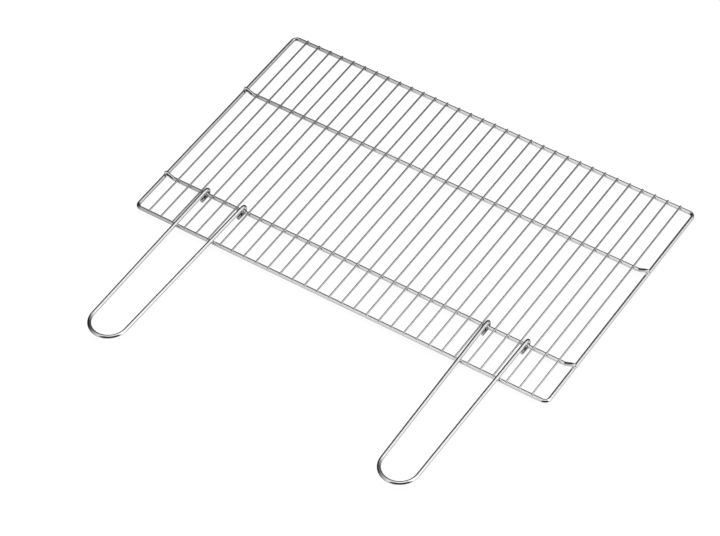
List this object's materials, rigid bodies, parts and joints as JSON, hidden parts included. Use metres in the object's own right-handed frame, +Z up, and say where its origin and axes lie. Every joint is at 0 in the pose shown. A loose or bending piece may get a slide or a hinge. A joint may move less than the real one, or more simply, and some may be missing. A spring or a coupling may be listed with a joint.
{
  "type": "folding camp grill",
  "caption": "Flat rectangular cooking grate of chromed steel wire whose U-shaped wire handles swing on a cross bar and fold back over the grid.",
  "frame": {"origin": "centre of the grate, on the plane of the frame's underside", "axes": "+X along the grate's long side, -Y towards the handles, +Z up, out of the cooking side"},
  "size_m": [0.67, 0.622, 0.0167],
  "materials": {
    "frame_chrome": "polished",
    "rod_chrome": "satin",
    "handle_chrome": "polished"
  },
  "bodies": {
    "grate": {"perimeter_frame": "frame_chrome", "rear_cross_bar": "frame_chrome", "front_cross_bar": "frame_chrome", "grid_rod_01": "rod_chrome", "grid_rod_02": "rod_chrome", "grid_rod_03": "rod_chrome", "grid_rod_04": "rod_chrome", "grid_rod_05": "rod_chrome", "grid_rod_06": "rod_chrome", "grid_rod_07": "rod_chrome", "grid_rod_08": "rod_chrome", "grid_rod_09": "rod_chrome", "grid_rod_10": "rod_chrome", "grid_rod_11": "rod_chrome", "grid_rod_12": "rod_chrome", "grid_rod_13": "rod_chrome", "grid_rod_14": "rod_chrome", "grid_rod_15": "rod_chrome", "grid_rod_16": "rod_chrome", "grid_rod_17": "rod_chrome", "grid_rod_18": "rod_chrome", "grid_rod_19": "rod_chrome", "grid_rod_20": "rod_chrome", "grid_rod_21": "rod_chrome", "grid_rod_22": "rod_chrome", "grid_rod_23": "rod_chrome", "grid_rod_24": "rod_chrome", "grid_rod_25": "rod_chrome", "grid_rod_26": "rod_chrome", "grid_rod_27": "rod_chrome", "grid_rod_28": "rod_chrome", "grid_rod_29": "rod_chrome", "grid_rod_30": "rod_chrome", "grid_rod_31": "rod_chrome", "grid_rod_32": "rod_chrome"},
    "left_handle": {"left_handle": "handle_chrome"},
    "right_handle": {"right_handle": "handle_chrome"}
  },
  "joints": [
    {"name": "left_handle_fold", "type": "hinge", "parent": "grate", "child": "left_handle", "pos_m": [0, -0.1273, 0.00275], "axis": [-1, 0, 0], "range_deg": [0, 176.7]},
    {"name": "right_handle_fold", "type": "hinge", "parent": "grate", "child": "right_handle", "pos_m": [0, -0.1273, 0.00275], "axis": [-1, 0, 0], "range_deg": [0, 176.7]}
  ]
}
